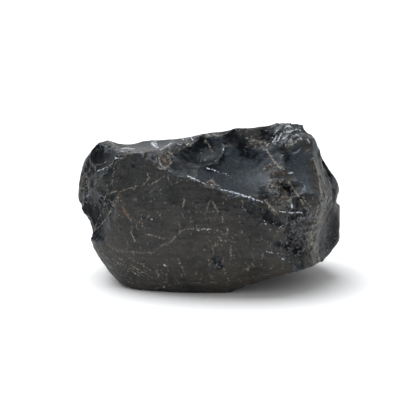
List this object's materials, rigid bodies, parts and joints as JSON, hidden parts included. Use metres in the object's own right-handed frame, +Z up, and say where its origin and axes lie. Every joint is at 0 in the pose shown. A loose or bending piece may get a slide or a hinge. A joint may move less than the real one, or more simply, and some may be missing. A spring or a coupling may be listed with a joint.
{
  "type": "obsidian chunk",
  "caption": "Rough chunk of black obsidian, one piece, with a broad weathered front, conchoidal flake scars, chipped ridges and a flat underside to rest on.",
  "frame": {"origin": "on the surface the chunk rests on, under the middle of its bounding box", "axes": "+Z up, +X along the longest extent, the broad weathered face looks along -Y"},
  "size_m": [0.1504, 0.109, 0.0895],
  "materials": {
    "obsidian": "volcanic glass: satin weathered rind on the front and underside, glossier fresh flake scars"
  },
  "bodies": {
    "root": {"obsidian_chunk": "obsidian"}
  },
  "joints": []
}
